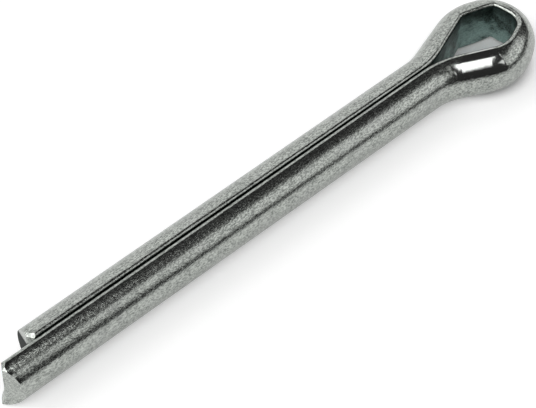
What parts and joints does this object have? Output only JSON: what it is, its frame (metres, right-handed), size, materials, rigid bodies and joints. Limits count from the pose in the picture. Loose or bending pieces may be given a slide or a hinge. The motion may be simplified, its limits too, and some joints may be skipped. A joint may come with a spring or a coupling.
{
  "type": "split pin",
  "caption": "Split pin of half-round steel wire folded into an eye and straight legs, the lower leg longer, that locks a nut or clevis pin.",
  "frame": {"origin": "on the shank's axis at the datum under the eye, where the legs begin to part", "axes": "+X along the shank to the leg tips, +Y across the legs towards the long leg, +Z along the eye's axis"},
  "size_m": [0.0549, 0.0084, 0.0044],
  "materials": {
    "steel": "zinc plated"
  },
  "bodies": {
    "root": {"split_pin": "steel"}
  },
  "joints": []
}
